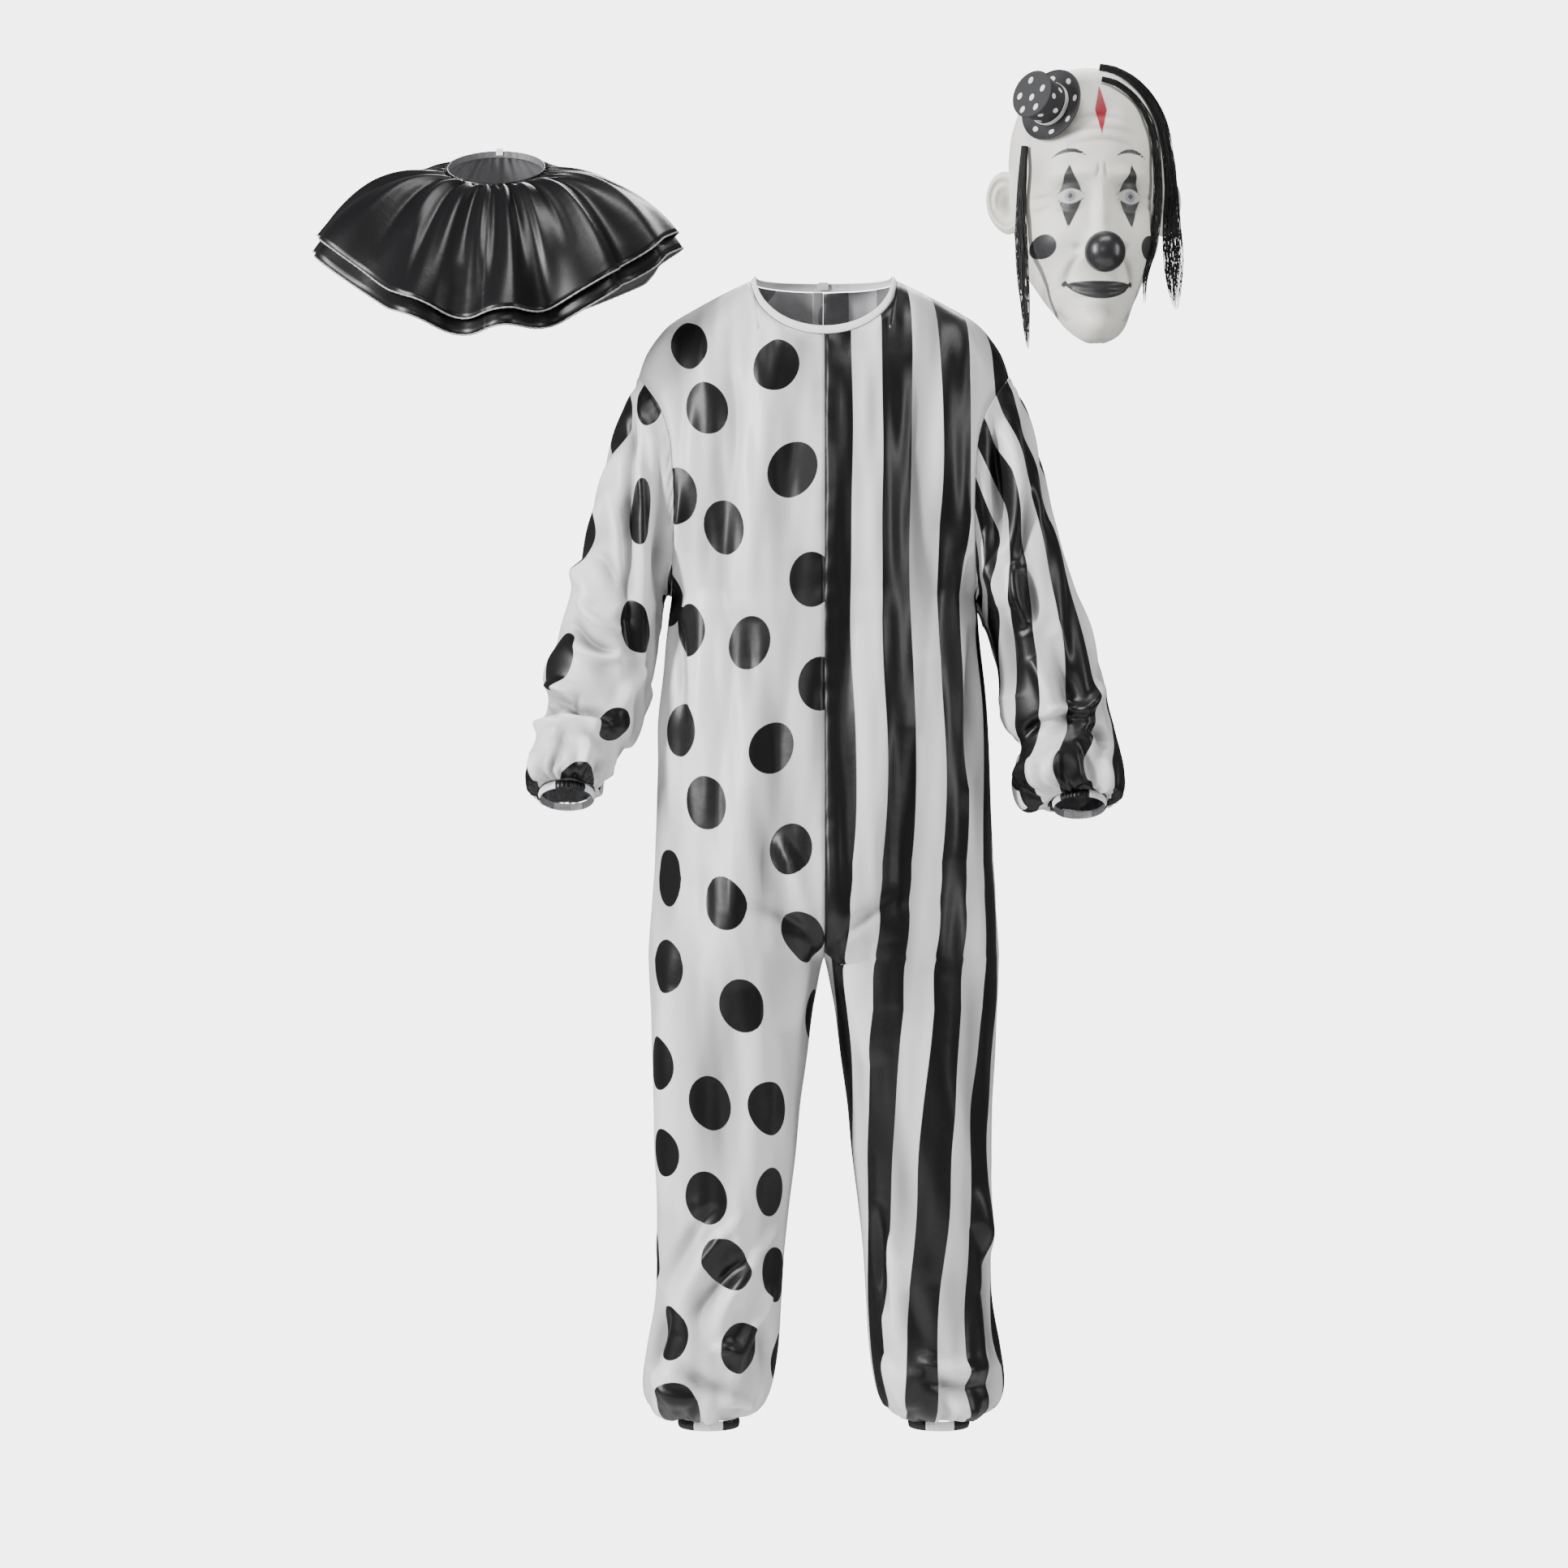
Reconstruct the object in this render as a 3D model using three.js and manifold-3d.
// Clown costume set: a one-piece suit, half dotted and half striped, a two-layer ruff and a latex mask.
// Millimetres, +Z up. The wearer faces -Y, and +X is the wearer's left. The origin is the middle of the
// suit's neck opening. The suit hangs filled out, as if worn; the ruff and the mask float beside its neck.
import * as THREE from 'three';
import { mergeVertices } from 'three/addons/utils/BufferGeometryUtils.js';
import Module from 'manifold-3d';

// ---------------------------------------------------------------- driving dimensions
const CLOTH = 1.5; // wall of every satin piece
const GAP = 0.3; // between pieces at a seam
const PANEL_COLUMNS = 9; // from the centre seam to the side seam
const NECK_COLUMNS = 4; // of those, the ones that end at the neckline
const YOKE_ROWS = 9; // from the underarm to the shoulder seam
const UNDERARM = { x: 201, z: -387 };
const NECK = { half: 97, side: 30, front: -51, back: 23 }; // half width, and heights of the neck seam
const BINDING = { tall: 11, thick: 2, draw: 0.93, gap: 1.2 }; // neck binding, drawn in towards its edge
const PLACKET = { wide: 13, from: 1, thick: 1.2 };
const TAB = { wide: 14, tall: 10, thick: 1.2 };
const ANKLE = { x: 152, radius: 40, top: -1471, bottom: -1484 };
const BAND_THICK = 2; // elastic casings at cuffs and ankles

const degrees = (angle) => (angle * Math.PI) / 180;
const clamp = (value, low, high) => Math.min(high, Math.max(low, value));
const table = (columns, rows) => rows.map((row) => Object.fromEntries(columns.map((c, i) => [c, row[i]])));

// A smooth curve through one column of a table, read at a value of its key column.
function sample(rows, key, column, at) {
  const rising = rows[0][key] < rows[rows.length - 1][key] ? rows : [...rows].reverse();
  const last = rising.length - 1;
  const x = clamp(at, rising[0][key], rising[last][key]);
  let i = 0;
  while (i < last - 1 && x > rising[i + 1][key]) i += 1;
  const slope = (a, b) => (rising[b][column] - rising[a][column]) / (rising[b][key] - rising[a][key]);
  const span = rising[i + 1][key] - rising[i][key];
  const start = slope(Math.max(i - 1, 0), i + 1) * span;
  const end = slope(i, Math.min(i + 2, last)) * span;
  const t = (x - rising[i][key]) / span;
  const a = rising[i][column];
  const b = rising[i + 1][column];
  return a + t * start + t * t * (3 * (b - a) - 2 * start - end) + t * t * t * (2 * (a - b) + start + end);
}

// ---------------------------------------------------------------- the suit's sections and seams
// Body and leg below the underarm: inner edge (0 on the centre seam), outer edge (side seam),
// middle of the section's arc, and how deep it is in front and behind.
const bodySections = table(['z', 'inner', 'outer', 'middle', 'front', 'back'], [
  [-1471, 112, 192, 152, 40, 40],
  [-1463, 90, 219, 154, 66, 68],
  [-1448, 75, 234, 155, 82, 84],
  [-1423, 67, 239, 153, 91, 93],
  [-1380, 60, 234, 147, 90, 93],
  [-1316, 56, 223, 139, 88, 91],
  [-1251, 52, 221, 136, 90, 93],
  [-1187, 45, 221, 133, 93, 96],
  [-1122, 37, 222, 129, 97, 100],
  [-1058, 31, 223, 127, 100, 104],
  [-993, 22, 227, 124, 103, 108],
  [-929, 14, 229, 121, 107, 113],
  [-897, 7, 231, 119, 110, 117],
  [-865, 0, 232, 116, 115, 122],
  [-854, 0, 232, 103, 118, 126],
  [-840, 0, 231, 86, 121, 129],
  [-822, 0, 230, 66, 124, 132],
  [-800, 0, 228, 42, 127, 134],
  [-772, 0, 226, 18, 129, 136],
  [-736, 0, 223, 0, 130, 136],
  [-628, 0, 220, 0, 126, 128],
  [-540, 0, 216, 0, 123, 120],
  [-456, 0, 207, 0, 121, 115],
  [UNDERARM.z, 0, UNDERARM.x, 0, 120, 112],
]);

// The body's form above the underarm: half width of its section and its depth at the centre.
const yokeForm = table(['z', 'half', 'front', 'back'], [
  [UNDERARM.z, 201, 120, 112],
  [-360, 212, 121, 112],
  [-320, 228, 122, 113],
  [-250, 252, 121, 115],
  [-183, 261, 118, 115],
  [-134, 257, 111, 111],
  [-97, 245, 103, 104],
  [-70, 236, 94, 97],
  [-48, 222, 86, 91],
  [-27, 203, 77, 84],
  [-5, 167, 66, 73],
  [16, 127, 56, 61],
  [27, 104, 48, 52],
  [30, NECK.half, 46, 50],
]);

// The armhole seam from the underarm (0) to the shoulder tip (1).
const armholeSeam = table(['along', 'x', 'z'], [
  [0, UNDERARM.x, UNDERARM.z],
  [0.12, 199, -355],
  [0.28, 197, -310],
  [0.45, 196, -262],
  [0.62, 198, -212],
  [0.75, 202, -178],
  [0.87, 215, -142],
  [1, 245, -97],
]);

// Sleeve sections: the outer and the inner edge of the sleeve's outline, its depth to each side of its own
// middle, how far forward that middle is, and how far the section leans to face forward.
const sleeveColumns = ['outerX', 'outerZ', 'innerX', 'innerZ', 'depth', 'forward', 'lean'];
const dottedSleeve = table(sleeveColumns, [
  [262, -134, 205, -391, 78, 0, 0],
  [279, -180, 208, -400, 80, 0, 0],
  [296, -240, 212, -413, 79, 2, 0],
  [312, -304, 217, -434, 77, 4, 0],
  [329, -372, 222, -464, 74, 8, 2],
  [350, -440, 229, -503, 70, 14, 4],
  [369, -494, 237, -538, 66, 22, 7],
  [365, -521, 242, -556, 61, 29, 10],
  [372, -560, 250, -574, 62, 38, 13],
  [381, -588, 264, -590, 56, 45, 16],
  [392, -620, 275, -612, 60, 52, 19],
  [389, -641, 284, -634, 54, 57, 22],
  [373, -646, 299, -643, 37, 59, 26],
]);
const stripedSleeve = table(sleeveColumns, [
  [264, -134, 206, -391, 78, 0, 0],
  [279, -184, 209, -402, 80, 0, 0],
  [295, -246, 212, -418, 79, 2, 0],
  [311, -306, 216, -440, 78, 4, 0],
  [331, -372, 220, -470, 76, 8, 2],
  [352, -436, 225, -503, 74, 14, 4],
  [364, -486, 231, -535, 70, 22, 7],
  [371, -530, 240, -563, 65, 30, 10],
  [379, -560, 255, -583, 58, 38, 13],
  [387, -594, 252, -604, 62, 45, 16],
  [391, -627, 244, -628, 62, 52, 19],
  [388, -652, 262, -650, 54, 57, 22],
  [369, -656, 297, -654, 36, 59, 26],
]);
const cuffs = {
  dotted: { x: 336, forward: 60, z: -645, radius: 36, tall: 11 },
  striped: { x: 333, forward: 60, z: -656, radius: 35, tall: 11 },
};
const CUFF_LEAN = 26;

// ---------------------------------------------------------------- cloth walls
// Outward normals of a grid of points, from the chords to its neighbours.
function gridNormals(grid, wrap, outward) {
  const rows = grid.length;
  const columns = grid[0].length;
  const column = (c) => (wrap ? (c + columns) % columns : clamp(c, 0, columns - 1));
  return grid.map((row, r) =>
    row.map((point, c) => {
      const across = row[column(c + 1)].clone().sub(row[column(c - 1)]);
      const along = grid[Math.min(r + 1, rows - 1)][c].clone().sub(grid[Math.max(r - 1, 0)][c]);
      return across.cross(along).normalize().multiplyScalar(outward);
    })
  );
}

// A closed wall: the grid, the same grid moved by its offsets, and the rims between them.
function wallGeometry(grid, offsets, wrap) {
  const rows = grid.length;
  const columns = grid[0].length;
  const count = rows * columns;
  const positions = [];
  for (const row of grid) for (const p of row) positions.push(p.x, p.y, p.z);
  grid.forEach((row, r) => row.forEach((p, c) => {
    const q = p.clone().add(offsets[r][c]);
    positions.push(q.x, q.y, q.z);
  }));
  const at = (r, c, layer) => layer * count + r * columns + (wrap ? c % columns : c);
  const index = [];
  const quad = (a, b, c, d) => index.push(a, b, c, a, c, d);
  const spans = wrap ? columns : columns - 1;
  for (let r = 0; r < rows - 1; r += 1) {
    for (let c = 0; c < spans; c += 1) {
      quad(at(r, c, 0), at(r, c + 1, 0), at(r + 1, c + 1, 0), at(r + 1, c, 0));
      quad(at(r, c, 1), at(r + 1, c, 1), at(r + 1, c + 1, 1), at(r, c + 1, 1));
    }
  }
  for (let c = 0; c < spans; c += 1) {
    quad(at(0, c, 0), at(0, c, 1), at(0, c + 1, 1), at(0, c + 1, 0));
    quad(at(rows - 1, c + 1, 0), at(rows - 1, c + 1, 1), at(rows - 1, c, 1), at(rows - 1, c, 0));
  }
  if (!wrap) {
    for (let r = 0; r < rows - 1; r += 1) {
      quad(at(r + 1, 0, 0), at(r + 1, 0, 1), at(r, 0, 1), at(r, 0, 0));
      quad(at(r, columns - 1, 0), at(r, columns - 1, 1), at(r + 1, columns - 1, 1), at(r + 1, columns - 1, 0));
    }
  }
  return closedGeometry(positions, index);
}

// Triangles turned so that the solid's volume is positive.
function closedGeometry(positions, index) {
  const corner = (i) => new THREE.Vector3().fromArray(positions, 3 * index[i]);
  let volume = 0;
  for (let i = 0; i < index.length; i += 3) volume += corner(i).dot(corner(i + 1).cross(corner(i + 2)));
  if (volume < 0) index.reverse();
  const geometry = new THREE.BufferGeometry();
  geometry.setAttribute('position', new THREE.Float32BufferAttribute(positions, 3));
  geometry.setIndex(index);
  geometry.computeVertexNormals();
  return geometry;
}

const inward = (normals, thick) => normals.map((row) => row.map((n) => n.clone().multiplyScalar(-thick)));

// ---------------------------------------------------------------- materials
const satin = (name, color) => new THREE.MeshStandardMaterial({ name, color, roughness: 0.35, metalness: 0 });
const materials = {
  dotted: satin('white satin with black dots', 0xd9d9dc),
  striped: satin('black and white striped satin', 0x808084),
  white: satin('white satin', 0xe8e8ea),
  black: satin('black satin', 0x17171a),
  latex: new THREE.MeshStandardMaterial({ name: 'off-white latex', color: 0xdcdcd2, roughness: 0.55 }),
  paint: new THREE.MeshStandardMaterial({ name: 'black latex', color: 0x1c1c1f, roughness: 0.6 }),
  hair: new THREE.MeshStandardMaterial({ name: 'black nylon hair', color: 0x111113, roughness: 0.45 }),
};
const costume = new THREE.Group();
function add(name, geometry, material) {
  const mesh = new THREE.Mesh(geometry, material);
  mesh.name = name;
  costume.add(mesh);
  return mesh;
}

// ---------------------------------------------------------------- front and back panels
const depthName = (face) => (face < 0 ? 'front' : 'back');

// Depth of the body's form at a place above the underarm.
function yokeDepth(x, z, face) {
  const half = sample(yokeForm, 'z', 'half', z);
  return sample(yokeForm, 'z', depthName(face), z) * Math.sqrt(Math.max(0, 1 - (x / half) ** 2));
}

// One row of a panel below the underarm: an arc from the centre seam or inseam to the side seam.
function sectionRow(section, face) {
  const radius = section.outer - section.middle;
  const start = Math.acos(clamp((section.inner - section.middle) / radius, -1, 1));
  const row = [];
  for (let c = 0; c <= PANEL_COLUMNS; c += 1) {
    const angle = start * (1 - c / PANEL_COLUMNS);
    const x = section.middle + radius * Math.cos(angle);
    const y = section[depthName(face)] * Math.sin(angle);
    row.push(new THREE.Vector3(Math.max(x, GAP / 2), face * Math.max(y, GAP / 2), section.z));
  }
  return row;
}

// The shoulder seam lies on the form's outline, from the armhole's tip to the neck.
const shoulderLine = yokeForm.filter((row) => row.z >= armholeSeam[armholeSeam.length - 1].z);

// The panel's top edge: the neckline, then the shoulder seam out to the armhole.
function topEdge(c, face) {
  if (c <= NECK_COLUMNS) {
    const angle = degrees((90 * c) / NECK_COLUMNS);
    const low = face < 0 ? NECK.front : NECK.back;
    return { x: NECK.half * Math.sin(angle), z: NECK.side - (NECK.side - low) * Math.cos(angle) };
  }
  const tip = armholeSeam[armholeSeam.length - 1];
  const x = NECK.half + ((tip.x - NECK.half) * (c - NECK_COLUMNS)) / (PANEL_COLUMNS - NECK_COLUMNS);
  return { x, z: sample(shoulderLine, 'half', 'z', x) };
}

const yokeHeight = (i) => Math.sin(((i / YOKE_ROWS) * Math.PI) / 2);

// A row of a panel above the underarm, blended between the centre seam, the armhole, the underarm row and
// the top edge, and laid on the body's form.
function yokeRow(i, face) {
  const v = yokeHeight(i);
  const low = face < 0 ? NECK.front : NECK.back;
  const hole = { x: sample(armholeSeam, 'along', 'x', v), z: sample(armholeSeam, 'along', 'z', v) };
  const tip = armholeSeam[armholeSeam.length - 1];
  const row = [];
  for (let c = 0; c <= PANEL_COLUMNS; c += 1) {
    const s = Math.sin(((c / PANEL_COLUMNS) * Math.PI) / 2);
    const top = topEdge(c, face);
    const corners = s * (1 - v) * UNDERARM.x + s * v * tip.x;
    const x = (1 - v) * UNDERARM.x * s + v * top.x + s * hole.x - corners;
    const centre = UNDERARM.z + (low - UNDERARM.z) * v;
    const heights = (1 - v) * UNDERARM.z + (1 - s) * v * low + s * v * tip.z;
    const z = (1 - v) * UNDERARM.z + v * top.z + (1 - s) * centre + s * hole.z - heights;
    const seam = i === YOKE_ROWS && c >= NECK_COLUMNS;
    const y = seam ? GAP / 2 : Math.max(GAP / 2, yokeDepth(x, z, face));
    row.push(new THREE.Vector3(Math.max(x, GAP / 2), face * y, z));
  }
  return row;
}

const mirrored = (grid, side) => grid.map((row) => row.map((p) => new THREE.Vector3(side * p.x, p.y, p.z)));

function panelGrid(side, face) {
  const rows = bodySections.map((section) => sectionRow(section, face));
  for (let i = 1; i <= YOKE_ROWS; i += 1) rows.push(yokeRow(i, face));
  return mirrored(rows, side);
}

// Offsets of a panel's inner face. They never cross the centre seam or the side, inseam and shoulder seams.
function panelOffsets(normals, side, face) {
  const offsets = inward(normals, CLOTH);
  const top = offsets.length - 1;
  const crotch = bodySections.findIndex((section) => section.inner === 0);
  const underarm = bodySections.length - 1;
  offsets.forEach((row, r) => {
    const stopY = (offset) => { offset.y = face * Math.max(0, face * offset.y); };
    if (r >= crotch) row[0].x = side * Math.max(0, side * row[0].x);
    if (r <= crotch) stopY(row[0]);
    if (r <= underarm || r === top) stopY(row[PANEL_COLUMNS]);
    if (r === top) row.slice(NECK_COLUMNS).forEach(stopY);
  });
  return offsets;
}

// ---------------------------------------------------------------- sleeves
// Column 0 is the underarm; then up the front to the shoulder tip, and down the back.
function sleeveRing(section) {
  const ring = [];
  for (let c = 0; c < 2 * YOKE_ROWS; c += 1) {
    const angle = Math.PI * (1 - c / YOKE_ROWS);
    const middle = { x: (section.outerX + section.innerX) / 2, z: (section.outerZ + section.innerZ) / 2 };
    const across = section.depth * Math.sin(angle);
    ring.push(new THREE.Vector3(
      middle.x + ((section.outerX - section.innerX) / 2) * Math.cos(angle),
      -section.forward - across * Math.cos(degrees(section.lean)),
      middle.z + ((section.outerZ - section.innerZ) / 2) * Math.cos(angle)
        + across * Math.sin(degrees(section.lean))
    ));
  }
  return ring;
}

// The armhole's points in the sleeve's column order, read from the edges of the two body panels.
function armholeRing(front, back) {
  const from = bodySections.length - 1;
  const ring = [];
  for (let i = 0; i <= YOKE_ROWS; i += 1) ring.push(front[from + i][PANEL_COLUMNS]);
  for (let i = YOKE_ROWS - 1; i > 0; i -= 1) ring.push(back[from + i][PANEL_COLUMNS]);
  return ring;
}

function sleeveGrid(side, sections, front, back) {
  const tip = armholeSeam[armholeSeam.length - 1];
  const across = new THREE.Vector3(side * (tip.z - UNDERARM.z), 0, UNDERARM.x - tip.x).normalize();
  const first = armholeRing(front, back).map((p, c) => {
    const q = p.clone().addScaledVector(across, GAP);
    if (c % YOKE_ROWS === 0) q.y = 0;
    return q;
  });
  return [first, ...mirrored(sections.map(sleeveRing), side)];
}

// Where a panel and a sleeve bend round an edge, both walls turn inward along the same line.
function shareSeam(panelNormal, sleeveNormal) {
  const turn = clamp((panelNormal.dot(sleeveNormal) + 0.2) / 0.5, 0, 1);
  const shared = panelNormal.clone().add(sleeveNormal).normalize();
  return [panelNormal.clone().lerp(shared, turn).normalize(), sleeveNormal.clone().lerp(shared, turn).normalize()];
}

// ---------------------------------------------------------------- build one half of the suit
function buildHalf(side, names, sections, cuff, material) {
  const outward = (face) => side * face;
  const panels = {};
  for (const face of [-1, 1]) {
    const grid = panelGrid(side, face);
    panels[face] = { grid, normals: gridNormals(grid, false, -outward(face)) };
  }
  const sleeve = sleeveGrid(side, sections, panels[-1].grid, panels[1].grid);
  const sleeveNormals = gridNormals(sleeve, true, -side);
  const from = bodySections.length - 1;
  for (let c = 0; c < 2 * YOKE_ROWS; c += 1) {
    const i = c <= YOKE_ROWS ? c : 2 * YOKE_ROWS - c;
    const faces = c % YOKE_ROWS === 0 ? [-1, 1] : [c < YOKE_ROWS ? -1 : 1];
    const [onPanel, onSleeve] = shareSeam(
      faces.reduce((sum, f) => sum.add(panels[f].normals[from + i][PANEL_COLUMNS]), new THREE.Vector3()).normalize(),
      sleeveNormals[0][c]
    );
    for (const face of faces) panels[face].normals[from + i][PANEL_COLUMNS].copy(onPanel);
    sleeveNormals[0][c].copy(onSleeve);
  }
  for (const face of [-1, 1]) {
    const panel = panels[face];
    panel.offsets = panelOffsets(panel.normals, side, face);
    add(`${depthName(face)}_${names}`, wallGeometry(panel.grid, panel.offsets, false), material);
  }
  add(`sleeve_${names}`, wallGeometry(sleeve, inward(sleeveNormals, CLOTH), true), material);
  add(`cuff_${names}`, cuffGeometry(side, cuff), material);
  add(`ankle_${names}`, ankleGeometry(side), material);
  return panels;
}

// A ring of elastic in a casing: two loops, a little lower than the cloth that is gathered onto it.
function cuffGeometry(side, cuff) {
  const lean = degrees(CUFF_LEAN);
  const down = new THREE.Vector3(0, -Math.sin(lean), -Math.cos(lean));
  const loop = (drop) => {
    const ring = [];
    for (let c = 0; c < 2 * YOKE_ROWS; c += 1) {
      const angle = Math.PI * (1 - c / YOKE_ROWS);
      const across = cuff.radius * Math.sin(angle);
      const p = new THREE.Vector3(cuff.x + cuff.radius * Math.cos(angle), -cuff.forward, cuff.z);
      p.y -= across * Math.cos(lean);
      p.z += across * Math.sin(lean);
      ring.push(p.addScaledVector(down, drop));
    }
    return ring;
  };
  const grid = mirrored([loop(GAP), loop(cuff.tall)], side);
  return wallGeometry(grid, inward(gridNormals(grid, true, -side), BAND_THICK), true);
}

function ankleGeometry(side) {
  const loop = (z) => {
    const ring = [];
    for (let c = 0; c < 2 * PANEL_COLUMNS; c += 1) {
      const angle = Math.PI * (1 - c / PANEL_COLUMNS);
      ring.push(new THREE.Vector3(ANKLE.x + ANKLE.radius * Math.cos(angle), -ANKLE.radius * Math.sin(angle), z));
    }
    return ring;
  };
  const grid = mirrored([loop(ANKLE.top - GAP), loop(ANKLE.bottom)], side);
  return wallGeometry(grid, inward(gridNormals(grid, true, -side), BAND_THICK), true);
}

const dotted = buildHalf(-1, 'dots', dottedSleeve, cuffs.dotted, materials.dotted);
const striped = buildHalf(1, 'stripes', stripedSleeve, cuffs.striped, materials.striped);

// ---------------------------------------------------------------- neck binding, back placket and tab
// The neck seam, from the centre front round the wearer's left to the centre back and home again.
function neckSeam() {
  const ring = [];
  const take = (panels, face, c) => {
    const panel = panels[face];
    const top = panel.grid.length - 1;
    const point = panel.grid[top][c].clone();
    if (c === 0) point.x = 0;
    const offset = panel.offsets[top][c].clone();
    if (c === NECK_COLUMNS) {
      point.y = 0;
      offset.add(panels[-face].offsets[top][c]).multiplyScalar(0.5).setLength(CLOTH);
    }
    ring.push({ point, offset });
  };
  for (let c = 0; c <= NECK_COLUMNS; c += 1) take(striped, -1, c);
  for (let c = NECK_COLUMNS - 1; c >= 0; c -= 1) take(striped, 1, c);
  for (let c = 1; c <= NECK_COLUMNS; c += 1) take(dotted, 1, c);
  for (let c = NECK_COLUMNS - 1; c > 0; c -= 1) take(dotted, -1, c);
  return ring;
}

function bindingGrid() {
  const seam = neckSeam();
  const edge = seam.map(({ point }) => {
    const across = (point.x / NECK.half) ** 2;
    const rise = BINDING.tall * (1.1 - 0.4 * across);
    return new THREE.Vector3(point.x * BINDING.draw, point.y * BINDING.draw, point.z + rise);
  });
  const foot = seam.map(({ point }, i) => {
    const up = edge[i].clone().sub(point).normalize();
    return point.clone().addScaledVector(up, BINDING.gap);
  });
  const grid = [foot, edge];
  const offsets = inward(gridNormals(grid, true, 1), BINDING.thick);
  seam.forEach(({ offset }, i) => offsets[0][i].copy(offset).setLength(BINDING.thick));
  return { grid, offsets };
}

const binding = bindingGrid();
add('neck_binding', wallGeometry(binding.grid, binding.offsets, true), materials.white);

// The placket lies on the inner face of the dotted back, along the centre seam, from the neck to the underarm.
function placketGeometry() {
  const panel = dotted[1];
  const grid = [];
  const offsets = [];
  for (let r = bodySections.length - 1; r < panel.grid.length; r += 1) {
    const [seam, next] = [0, 1].map((c) => panel.grid[r][c].clone().add(panel.offsets[r][c]));
    const inner = panel.offsets[r][0].clone().normalize();
    const width = seam.distanceTo(next);
    const line = [PLACKET.from, PLACKET.from + PLACKET.wide].map((along) =>
      seam.clone().lerp(next, along / width).addScaledVector(inner, GAP));
    grid.push(line);
    offsets.push(line.map(() => inner.clone().multiplyScalar(PLACKET.thick)));
  }
  return wallGeometry(grid, offsets, false);
}
add('back_placket', placketGeometry(), materials.white);

// A flat tab on a ring of binding: it lies inside the ring's middle back, across the join.
function tabGeometry(low, high, inner, tab, clear) {
  const across = new THREE.Vector3(tab.wide / 2, 0, 0);
  const base = low.clone().addScaledVector(inner, clear);
  const rise = high.clone().sub(low).normalize().multiplyScalar(tab.tall);
  const grid = [[-1, 1], [-1, 1]].map((row, r) =>
    row.map((s) => base.clone().addScaledVector(across, s).addScaledVector(rise, r)));
  const offset = inner.clone().multiplyScalar(tab.thick);
  return wallGeometry(grid, grid.map((row) => row.map(() => offset)), false);
}
const neckBack = 2 * NECK_COLUMNS;
const neckInner = binding.offsets[1][neckBack].clone().normalize();
add('back_tab', tabGeometry(
  binding.grid[0][neckBack].clone().lerp(binding.grid[1][neckBack], 0.3),
  binding.grid[1][neckBack], neckInner, TAB, BINDING.thick + BINDING.gap + GAP
), materials.white);

// ---------------------------------------------------------------- ruff
const RUFF = {
  centre: new THREE.Vector3(-434, 0, 178), // middle of the neck edge
  neck: { side: 65.5, depth: 62, tilt: 32 }, // half width, half depth, rise of the back edge
  hem: { side: 231, front: 168, back: 158 },
  hemLow: { side: -88, front: -216, back: -158 }, // below the middle of the neck edge
  columns: 40,
  rows: [0, 0.14, 0.36, 0.6, 0.82, 1], // share of the reach, from the neck edge to the hem
  under: 1.2, // clearance of the lower layer at the neck
  spread: 5, // and how much more at the hem
  lower: 1.07, // the lower layer's reach
  band: { tall: 9, thick: 2.5, below: 5 },
  tab: { wide: 9, tall: 9, thick: 1.2 },
};

// Flutes round the hem: bearing from the middle front towards the wearer's left, half width, and reach.
const flutes = table(['at', 'spread', 'out'], [
  [-86, 9, 6],
  [-64, 9, 10],
  [-45, 8, -9],
  [-27, 9, 11],
  [-9, 7, -7],
  [6, 9, 14],
  [22, 7, -16],
  [38, 9, 11],
  [52, 6, -13],
  [64, 7, 9],
  [86, 9, 7],
  [108, 9, -9],
  [128, 9, 10],
  [148, 8, -9],
  [168, 9, 9],
  [-170, 8, -8],
  [-150, 9, 10],
  [-128, 9, -9],
  [-108, 9, 8],
]);

function fluteReach(bearing) {
  let reach = 0;
  for (const flute of flutes) {
    const away = ((bearing - flute.at + 540) % 360) - 180;
    reach += flute.out * Math.exp(-((away / flute.spread) ** 2));
  }
  return reach;
}

// A point of the ruff's cloth: its bearing, and its share of the way from the neck edge to the hem.
function ruffPoint(bearing, share) {
  const sin = Math.sin(degrees(bearing));
  const cos = Math.cos(degrees(bearing));
  const ahead = cos > 0 ? 'front' : 'back';
  const { neck, hem, hemLow } = RUFF;
  const fall = share ** (1.35 + 1.25 * sin * sin);
  const reach = fluteReach(bearing) * share ** 1.3;
  const drop = hemLow.side + (hemLow[ahead] - hemLow.side) * cos * cos;
  return new THREE.Vector3(
    RUFF.centre.x + sin * (neck.side + GAP + (hem.side - neck.side) * share + reach),
    RUFF.centre.y - cos * (neck.depth + GAP + (hem[ahead] - neck.depth) * share + reach),
    RUFF.centre.z - neck.tilt * cos * (1 - share) + drop * fall + 0.3 * reach
  );
}

function ruffGrid(shares) {
  return shares.map((share) =>
    Array.from({ length: RUFF.columns }, (_, c) => ruffPoint((360 * c) / RUFF.columns, share)));
}

const ruffUpper = ruffGrid(RUFF.rows);
// At the neckband the cloth's raw edge stands against the band, so its thickness is straight down.
function ruffOffsets(grid) {
  const offsets = inward(gridNormals(grid, true, -1), CLOTH);
  offsets[0].forEach((offset) => offset.set(0, 0, -CLOTH));
  return offsets;
}
add('ruff_upper', wallGeometry(ruffUpper, ruffOffsets(ruffUpper), true), materials.black);

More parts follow.
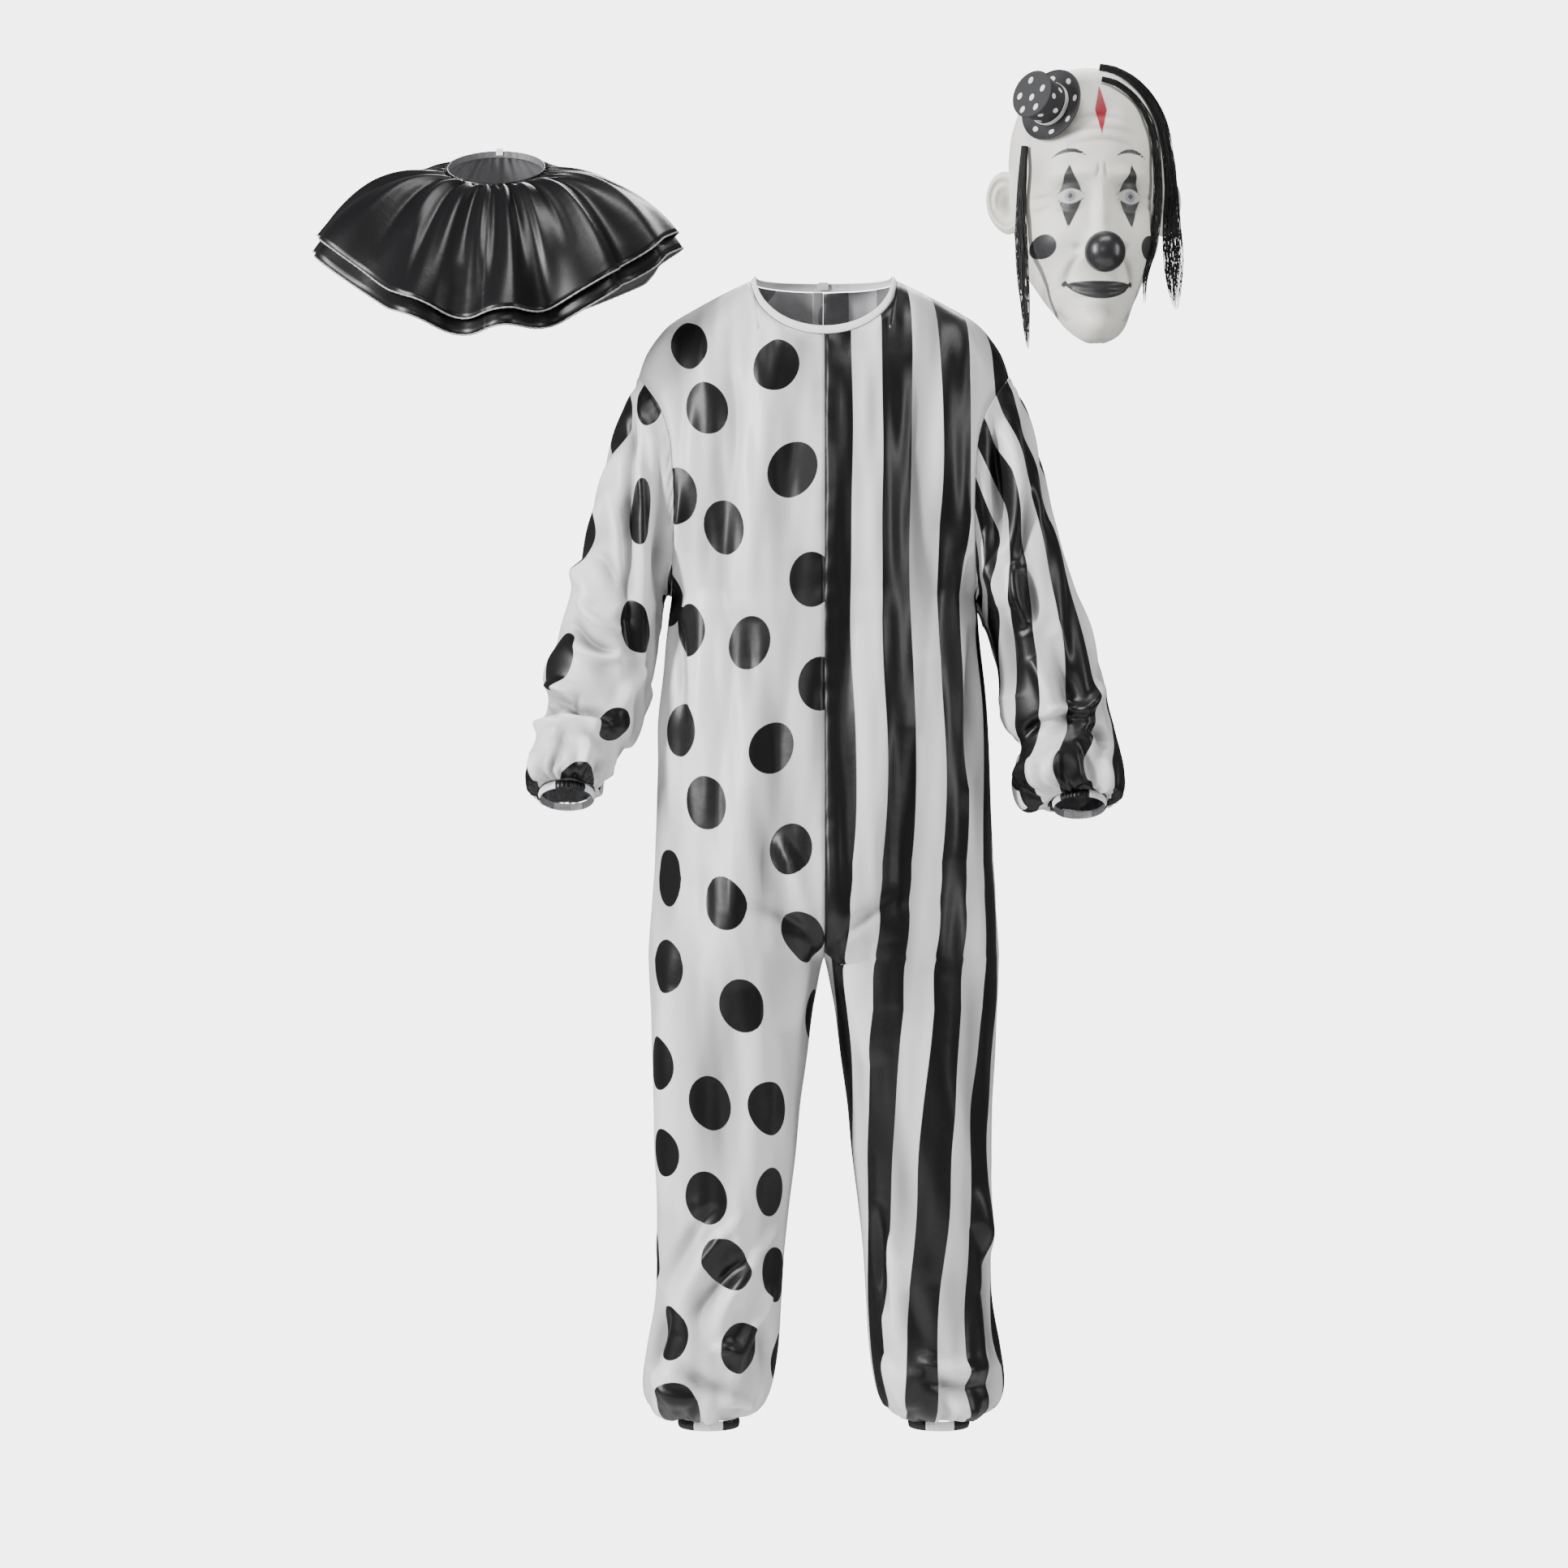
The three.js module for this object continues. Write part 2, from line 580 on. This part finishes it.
// The lower layer is the upper one's points, moved under it, with the hem let down a little.
function lowerRuff() {
  const longer = ruffGrid(RUFF.rows.map((share) => share * (share > 0.9 ? RUFF.lower : 1)));
  const normals = gridNormals(longer, true, -1);
  return longer.map((row, r) => row.map((p, c) => {
    const under = CLOTH + RUFF.under + RUFF.spread * RUFF.rows[r];
    const q = p.clone().addScaledVector(normals[r][c], -under);
    if (r === 0) q.set(p.x, p.y, p.z - under);
    return q;
  }));
}
const ruffLower = lowerRuff();
add('ruff_lower', wallGeometry(ruffLower, ruffOffsets(ruffLower), true), materials.black);

function ruffBandLoop(height) {
  const { neck } = RUFF;
  return Array.from({ length: RUFF.columns }, (_, c) => {
    const bearing = degrees((360 * c) / RUFF.columns);
    return new THREE.Vector3(
      RUFF.centre.x + neck.side * Math.sin(bearing),
      RUFF.centre.y - neck.depth * Math.cos(bearing),
      RUFF.centre.z - neck.tilt * Math.cos(bearing) + height
    );
  });
}
const ruffBand = [ruffBandLoop(-RUFF.band.below), ruffBandLoop(RUFF.band.tall - RUFF.band.below)];
const ruffBandNormals = gridNormals(ruffBand, true, 1);
add('ruff_neckband', wallGeometry(ruffBand, inward(ruffBandNormals, RUFF.band.thick), true), materials.black);
const ruffBack = RUFF.columns / 2;
add('ruff_tab', tabGeometry(
  ruffBand[0][ruffBack].clone().lerp(ruffBand[1][ruffBack], 0.35), ruffBand[1][ruffBack],
  ruffBandNormals[1][ruffBack].clone().multiplyScalar(-1), RUFF.tab, RUFF.band.thick + 2 * GAP
), materials.white);

// ---------------------------------------------------------------- mask
// The mask's own frame: +Z up its middle, -Y out of the face, turned a little towards the wearer's left.
const MASK = { x: 347, turn: 5, latex: 2.5, rows: 13, columns: 28, top: 311 };
const mask = new THREE.Group();
mask.position.x = MASK.x;
mask.rotation.z = degrees(MASK.turn);
costume.add(mask);

// The head's section at each height: half width, and its depth in front of and behind the ears.
const headForm = table(['z', 'half', 'front', 'back'], [
  [-62, 26, 84, 30],
  [-56, 37, 98, 40],
  [-42, 46, 107, 52],
  [-16, 55, 109, 62],
  [20, 70, 110, 72],
  [55, 86, 112, 82],
  [95, 96, 114, 90],
  [150, 102, 116, 99],
  [200, 101, 116, 100],
  [240, 94, 109, 92],
  [272, 78, 92, 75],
  [292, 58, 68, 55],
  [304, 34, 40, 32],
  [MASK.top, 5, 6, 5],
]);
// The mask's lower edge, by bearing from the middle of the face: chin, jaw, below the ear, nape.
const maskEdge = table(['bearing', 'z'], [
  [0, -62],
  [30, -59],
  [55, -40],
  [75, -4],
  [95, 36],
  [130, 72],
  [180, 84],
]);

function headPoint(bearing, z, out) {
  const ahead = Math.cos(degrees(bearing));
  const depth = sample(headForm, 'z', ahead > 0 ? 'front' : 'back', z) + out;
  const half = sample(headForm, 'z', 'half', z) + out;
  return new THREE.Vector3(half * Math.sin(degrees(bearing)), -depth * ahead, z);
}
// How far in front of the mask's middle its face is, at a place on the front.
function faceDepth(x, z) {
  const half = sample(headForm, 'z', 'half', z);
  return sample(headForm, 'z', 'front', z) * Math.sqrt(Math.max(0, 1 - (x / half) ** 2));
}

function headGrid(out) {
  const grid = [];
  for (let r = 0; r <= MASK.rows; r += 1) {
    const up = (1 - Math.cos((Math.PI * (0.12 + (0.88 * r) / MASK.rows)))) / 2;
    const share = r === 0 ? 0 : up;
    grid.push(Array.from({ length: MASK.columns }, (_, c) => {
      const bearing = (360 * c) / MASK.columns;
      const low = sample(maskEdge, 'bearing', 'z', bearing > 180 ? 360 - bearing : bearing);
      return headPoint(bearing, low + (MASK.top - low) * share, out);
    }));
  }
  return grid;
}
const head = headGrid(0);
function addToMask(name, geometry, material) {
  const mesh = add(name, geometry, material);
  mask.add(mesh);
  return mesh;
}
addToMask('mask_head', wallGeometry(head, inward(gridNormals(head, true, 1), MASK.latex), true), materials.latex);

// ---------------------------------------------------------------- ears and nose, cut to sit on the head
const wasm = await Module();
wasm.setup();
function toSolid(geometry) {
  const bare = new THREE.BufferGeometry();
  bare.setAttribute('position', geometry.getAttribute('position').clone());
  bare.setIndex(geometry.getIndex() ? geometry.getIndex().clone() : null);
  const merged = mergeVertices(bare);
  return new wasm.Manifold(new wasm.Mesh({
    numProp: 3,
    vertProperties: Float32Array.from(merged.getAttribute('position').array),
    triVerts: Uint32Array.from(merged.getIndex().array),
  }));
}
function fromSolid(solid) {
  const { vertProperties, triVerts } = solid.getMesh();
  return closedGeometry(Array.from(vertProperties), Array.from(triVerts));
}
// The whole head as a solid, a seam's gap larger than the mask, with fans over its neck and crown.
function headBlock() {
  const grid = headGrid(GAP);
  const positions = grid.flat().flatMap((p) => p.toArray());
  const columns = MASK.columns;
  const index = [];
  for (let r = 0; r < MASK.rows; r += 1) {
    for (let c = 0; c < columns; c += 1) {
      const [a, b] = [r * columns + c, r * columns + ((c + 1) % columns)];
      index.push(a, b, b + columns, a, b + columns, a + columns);
    }
  }
  const foot = positions.length / 3;
  positions.push(0, 0, 20, 0, 0, MASK.top);
  for (let c = 0; c < columns; c += 1) {
    const next = (c + 1) % columns;
    index.push(next, c, foot, MASK.rows * columns + c, MASK.rows * columns + next, foot + 1);
  }
  return toSolid(closedGeometry(positions, index));
}
const block = headBlock();

const EAR = { x: 106, z: 133, y: 4, half: { x: 27, y: 9, z: 42 }, flare: 30, lean: 8 };
for (const [name, side] of [['right', -1], ['left', 1]]) {
  const ear = new THREE.SphereGeometry(1, 16, 10).scale(EAR.half.x, EAR.half.y, EAR.half.z);
  ear.rotateY(degrees(side * EAR.lean)).rotateZ(degrees(side * EAR.flare));
  ear.translate(side * EAR.x, EAR.y, EAR.z);
  addToMask(`mask_ear_${name}`, fromSolid(toSolid(ear).subtract(block)), materials.latex);
}
const NOSE = { x: 2, z: 50, radius: 27, sink: 10 };
const nose = new THREE.SphereGeometry(NOSE.radius, 20, 14);
nose.translate(NOSE.x, -faceDepth(NOSE.x, NOSE.z) - NOSE.radius + NOSE.sink, NOSE.z);
addToMask('mask_nose', fromSolid(toSolid(nose).subtract(block)), materials.paint);

// ---------------------------------------------------------------- little top hat
const HAT = {
  x: -58, z: 244, // where the middle of the brim is, seen from the front
  axis: new THREE.Vector3(-0.72, -0.66, 0.2).normalize(),
  brim: 47.5, curl: 4, plate: 3, crownFoot: 26, crownTop: 31.5, tall: 47, bandTall: 7, bandThick: 1.4,
  sides: 28,
};
// The brim's plane just touches the head.
const hatPlane = Math.max(...headGrid(GAP).flat().map((p) => p.dot(HAT.axis))) + GAP;
const hatFoot = new THREE.Vector3(
  HAT.x, (hatPlane - HAT.x * HAT.axis.x - HAT.z * HAT.axis.z) / HAT.axis.y, HAT.z
);
function hatPiece(name, profile, material) {
  const points = profile.map(([radius, height]) => new THREE.Vector2(radius, height));
  const geometry = fromSolid(toSolid(new THREE.LatheGeometry(points, HAT.sides)));
  geometry.applyQuaternion(new THREE.Quaternion().setFromUnitVectors(new THREE.Vector3(0, 1, 0), HAT.axis));
  geometry.translate(hatFoot.x, hatFoot.y, hatFoot.z);
  addToMask(name, geometry, material);
}
const crownFrom = HAT.plate + GAP;
const crownAt = (height) =>
  HAT.crownFoot + ((HAT.crownTop - HAT.crownFoot) * (height - crownFrom)) / (HAT.tall - crownFrom);
hatPiece('hat_brim', [
  [0, 0], [HAT.brim - 8, 0], [HAT.brim - 1, HAT.curl], [HAT.brim, HAT.curl + HAT.plate - 1],
  [HAT.brim - 2, HAT.curl + HAT.plate], [HAT.brim - 9, HAT.plate], [0, HAT.plate],
], materials.paint);
hatPiece('hat_crown', [
  [0, crownFrom], [HAT.crownFoot, crownFrom], [HAT.crownTop, HAT.tall - 2], [HAT.crownTop - 2, HAT.tall],
  [0, HAT.tall],
], materials.paint);
const bandLow = crownFrom + 1;
const bandHigh = bandLow + HAT.bandTall;
hatPiece('hat_band', [
  [crownAt(bandLow) + GAP, bandLow], [crownAt(bandLow) + GAP + HAT.bandThick, bandLow],
  [crownAt(bandHigh) + GAP + HAT.bandThick, bandHigh], [crownAt(bandHigh) + GAP, bandHigh],
  [crownAt(bandLow) + GAP, bandLow],
], materials.white);

// ---------------------------------------------------------------- hair: plain solids of the locks' reach
const lockColumns = ['x', 'z', 'clear', 'wide', 'thick'];
const locks = {
  hair_right: table(lockColumns, [
    [-92, 196, 3, 9, 5],
    [-94, 172, 3, 10, 6],
    [-96, 123, 6, 12, 7],
    [-96, 80, 22, 15, 8],
    [-95, 38, 38, 15, 8],
    [-92, -5, 40, 12, 7],
    [-90, -44, 42, 7, 5],
    [-88, -68, 43, 3, 3],
  ]),
  hair_left_outer: table(lockColumns, [
    [6, 300, 3, 9, 5],
    [26, 296, 3, 10, 5],
    [50, 282, 3, 11, 5],
    [70, 262, 3, 12, 5],
    [88, 231, 3, 13, 5],
    [97, 193, 4, 14, 6],
    [103, 150, 8, 16, 7],
    [107, 102, 14, 22, 8],
    [108, 60, 18, 25, 8],
    [109, 20, 22, 18, 7],
    [111, -12, 26, 6, 4],
  ]),
  hair_left_inner: table(lockColumns, [
    [4, 279, 3, 7, 4],
    [24, 273, 3, 8, 4],
    [48, 255, 3, 8, 4],
    [67, 226, 3, 9, 5],
    [76, 188, 3, 10, 5],
    [80, 145, 3, 11, 5],
    [78, 102, 4, 12, 6],
    [72, 59, 5, 10, 5],
    [68, 27, 6, 6, 4],
    [68, -5, 30, 3, 3],
  ]),
};
const LOCK_SIDES = 8;
// Each lock clears the face under its whole width; beyond the head's outline it hangs free.
function lockSpine(row) {
  const reach = row.wide / 2;
  const under = [[0, 0], [reach, 0], [-reach, 0], [0, reach], [0, -reach]]
    .map(([dx, dz]) => faceDepth(row.x + dx, row.z + dz));
  return new THREE.Vector3(row.x, -Math.max(...under, 22) - row.clear - row.thick / 2, row.z);
}
function lockGeometry(rows) {
  const spine = rows.map(lockSpine);
  const positions = [];
  spine.forEach((p, i) => {
    const along = spine[Math.min(i + 1, spine.length - 1)].clone().sub(spine[Math.max(i - 1, 0)]).normalize();
    const aside = new THREE.Vector3(0, -1, 0).cross(along).normalize();
    const out = along.clone().cross(aside);
    for (let k = 0; k < LOCK_SIDES; k += 1) {
      const turn = (2 * Math.PI * k) / LOCK_SIDES;
      positions.push(...p.clone().addScaledVector(aside, (rows[i].wide / 2) * Math.cos(turn))
        .addScaledVector(out, (rows[i].thick / 2) * Math.sin(turn)).toArray());
    }
  });
  const index = [];
  for (let i = 0; i < spine.length - 1; i += 1) {
    for (let k = 0; k < LOCK_SIDES; k += 1) {
      const [a, b] = [i * LOCK_SIDES + k, i * LOCK_SIDES + ((k + 1) % LOCK_SIDES)];
      index.push(a, b, b + LOCK_SIDES, a, b + LOCK_SIDES, a + LOCK_SIDES);
    }
  }
  const end = (spine.length - 1) * LOCK_SIDES;
  for (let k = 1; k < LOCK_SIDES - 1; k += 1) {
    index.push(0, k + 1, k, end, end + k, end + k + 1);
  }
  return closedGeometry(positions, index);
}
for (const [name, rows] of Object.entries(locks)) addToMask(name, lockGeometry(rows), materials.hair);

export default costume;
